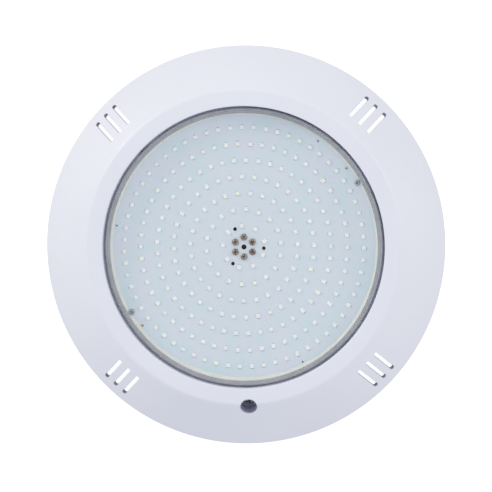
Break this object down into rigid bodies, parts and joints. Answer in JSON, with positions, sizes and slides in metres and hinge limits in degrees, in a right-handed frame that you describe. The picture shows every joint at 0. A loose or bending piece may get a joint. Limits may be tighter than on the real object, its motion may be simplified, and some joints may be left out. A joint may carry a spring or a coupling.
{
  "type": "underwater pool light",
  "caption": "Flat round surface-mounted pool light with a white trim ring, clear lens, LED board, twist-on wall bracket, locking screw and rear cable gland.",
  "frame": {"origin": "middle of the wall bracket's back face, on the light's axis", "axes": "+Z is the way the light shines, away from the wall; -Y is the side of the locking screw's well, the light's bottom as hung"},
  "size_m": [0.29, 0.29, 0.042],
  "materials": {
    "white_abs": "satin moulded ABS, faint cool tint",
    "clear_lens": "clear polycarbonate, polished",
    "grey_silicone": "translucent grey silicone, fine concentric ribs",
    "cream_sealant": "cured cream sealant",
    "board_mask": "white solder mask on an aluminium board, pale blue-grey under water-clear cover",
    "led_package": "white LED package with a clear window",
    "nickel_screw": "nickel plated, lightly toned",
    "stainless": "stainless steel",
    "brass": "turned brass",
    "black_nylon": "moulded nylon",
    "black_rubber": "rubber",
    "green_board": "green solder mask",
    "black_epoxy": "moulded epoxy",
    "capacitor_sleeve": "shrunk plastic sleeve",
    "ferrite": "ferrite with lacquered copper",
    "green_plastic": "moulded plastic",
    "natural_nylon": "natural nylon",
    "wire_insulation": "PVC insulation",
    "potting_resin": "cast resin"
  },
  "bodies": {
    "bracket": {"wall_bracket": "white_abs"},
    "lamp": {"trim_ring": "white_abs", "ring_screws": "stainless", "lens": "clear_lens", "lens_gasket": "grey_silicone", "edge_sealant": "cream_sealant", "housing": "white_abs", "led_board": "board_mask", "led_ring_1": "led_package", "led_ring_2": "led_package", "led_ring_3": "led_package", "led_ring_4": "led_package", "led_ring_5": "led_package", "led_ring_6": "led_package", "led_ring_7": "led_package", "contact_screws": "nickel_screw", "contact_block": "black_nylon", "contact_inserts": "brass", "board_screws": "stainless", "board_eyelets": "brass", "driver_board": "green_board", "driver_screws": "stainless", "bridge_rectifier": "black_epoxy", "filter_capacitors": "capacitor_sleeve", "power_inductor": "ferrite", "controller_chip": "black_epoxy", "output_transistors": "black_epoxy", "chip_resistors": "black_epoxy", "input_terminal": "green_plastic", "output_header": "natural_nylon", "link_wires": "wire_insulation", "potting_resin": "potting_resin", "gland_body": "black_nylon", "gland_oring": "black_rubber", "gland_locknut": "black_nylon", "gland_seal": "black_rubber", "lock_insert": "brass"},
    "captive_washer": {"lock_washer": "stainless"},
    "lock_screw": {"locking_screw": "stainless"},
    "clamp_washer": {"gland_clamp_ring": "stainless"},
    "clamp_nut": {"gland_nut": "black_nylon"}
  },
  "joints": [
    {"name": "bayonet_twist", "type": "hinge", "parent": "bracket", "child": "lamp", "pos_m": [0, 0, 0], "axis": [0, 0, 1], "range_deg": [0, 25]},
    {"name": "lock_travel", "type": "slide", "parent": "lamp", "child": "captive_washer", "axis": [0, -0.342, 0.9397], "range_m": [0, 0.006]},
    {"name": "lock_turn", "type": "hinge", "parent": "captive_washer", "child": "lock_screw", "pos_m": [0, -0.1041, 0.0109], "axis": [0, -0.342, 0.9397], "range_deg": [0, 3086.7]},
    {"name": "gland_travel", "type": "slide", "parent": "lamp", "child": "clamp_washer", "axis": [0, 0, -1], "range_m": [0, 0.003]},
    {"name": "gland_turn", "type": "hinge", "parent": "clamp_washer", "child": "clamp_nut", "pos_m": [0, 0, 0], "axis": [0, 0, -1], "range_deg": [0, 721]}
  ],
  "couplings": [
    {"joint": "lock_turn", "follows": "lock_travel", "rad_per_m": 8976},
    {"joint": "gland_turn", "follows": "gland_travel", "rad_per_m": 4188.8}
  ]
}
